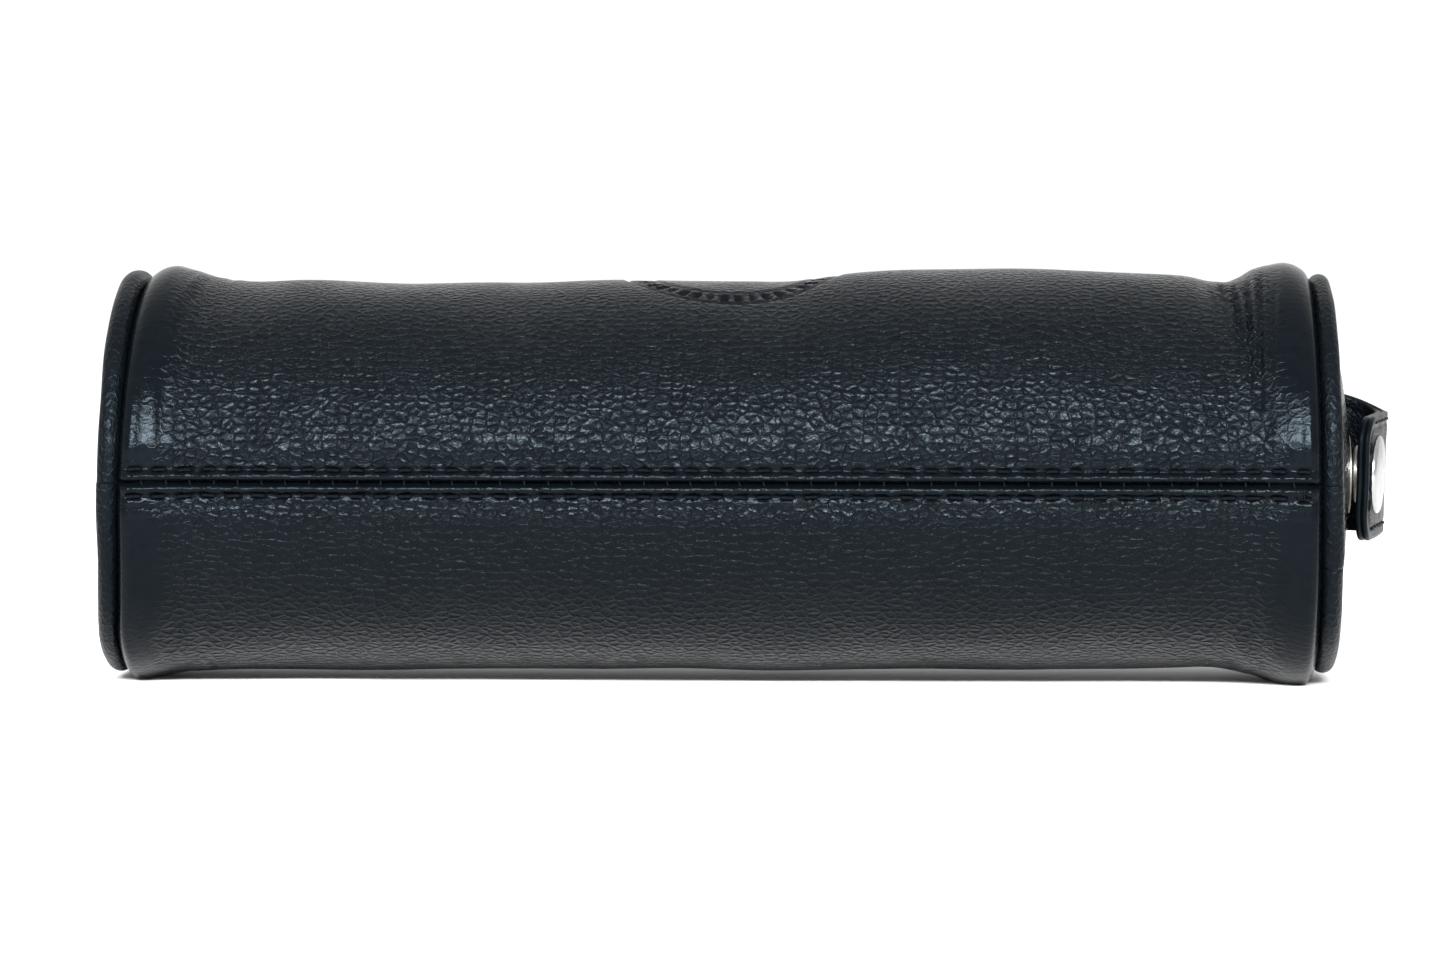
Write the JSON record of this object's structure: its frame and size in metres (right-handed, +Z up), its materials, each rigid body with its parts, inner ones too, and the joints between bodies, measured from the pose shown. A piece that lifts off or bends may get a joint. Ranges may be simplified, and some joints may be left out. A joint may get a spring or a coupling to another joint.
{
  "type": "zipped barrel pouch",
  "caption": "Padded leather barrel pouch with piped domed ends, a sewn bottom seam, a full-length zipper and a snap tab on one end.",
  "frame": {"origin": "centre of the bounding box, on the surface the pouch lies on", "axes": "+X runs along the barrel towards the end with the snap tab, +Z is up through the emblem, the sewn seam faces -Y and the zipper faces +Y"},
  "size_m": [0.2146, 0.0726, 0.0695],
  "materials": {
    "leather": "pebbled",
    "foam": "soft",
    "lining": "woven",
    "tape": "woven",
    "board": "matte",
    "cord": "matte",
    "thread": "bonded thread",
    "zipper_metal": "nickel",
    "snap_metal": "polished nickel"
  },
  "bodies": {
    "pouch": {"front_panel": "leather", "back_panel": "leather", "front_foam": "foam", "back_foam": "foam", "seam_tape": "tape", "body_lining": "lining", "left_end_panel": "leather", "right_end_panel": "leather", "left_end_board": "board", "right_end_board": "board", "left_end_lining": "lining", "right_end_lining": "lining", "left_piping": "leather", "right_piping": "leather", "left_piping_cord": "cord", "right_piping_cord": "cord", "left_seam_binding": "tape", "right_seam_binding": "tape", "seam_stitches_front": "thread", "seam_stitches_back": "thread", "zipper_stitches_front": "thread", "zipper_stitches_back": "thread", "zipper_tape_front": "tape", "zipper_tape_back": "tape", "zipper_teeth_front": "zipper_metal", "zipper_teeth_back": "zipper_metal", "zipper_top_stops": "zipper_metal", "zipper_bottom_stop": "zipper_metal", "left_zipper_end_cover": "leather", "right_zipper_end_cover": "leather", "tab_foot_inner_leaf": "leather", "tab_foot_outer_leaf": "leather", "tab_foot_stitches": "thread", "snap_stud": "snap_metal", "snap_washer": "snap_metal"},
    "slider": {"zipper_slider": "zipper_metal"},
    "puller": {"zipper_puller": "zipper_metal"},
    "pull_tag": {"pull_tag": "leather", "pull_tag_stitches": "thread"},
    "tab": {"tab_inner_leaf": "leather", "tab_outer_leaf": "leather", "tab_stitches": "thread", "snap_cap": "snap_metal", "snap_socket": "snap_metal"}
  },
  "joints": [
    {"name": "slider_slide", "type": "slide", "parent": "pouch", "child": "slider", "axis": [-1, 0, 0], "range_m": [0, 0.152], "deforming": ["zipper_teeth_front", "zipper_teeth_back"]},
    {"name": "puller_hinge", "type": "hinge", "parent": "slider", "child": "puller", "pos_m": [0.07445, 0.0344, 0.0345], "axis": [0, 0, -1], "range_deg": [0, 120]},
    {"name": "tag_hinge", "type": "hinge", "parent": "puller", "child": "pull_tag", "pos_m": [0.05545, 0.0344, 0.0345], "axis": [0, 0, -1], "range_deg": [0, 90]},
    {"name": "tab_hinge", "type": "hinge", "parent": "pouch", "child": "tab", "pos_m": [0.1053, 0.01707, 0.0345], "axis": [0, 0, 1], "range_deg": [0, 150]}
  ]
}
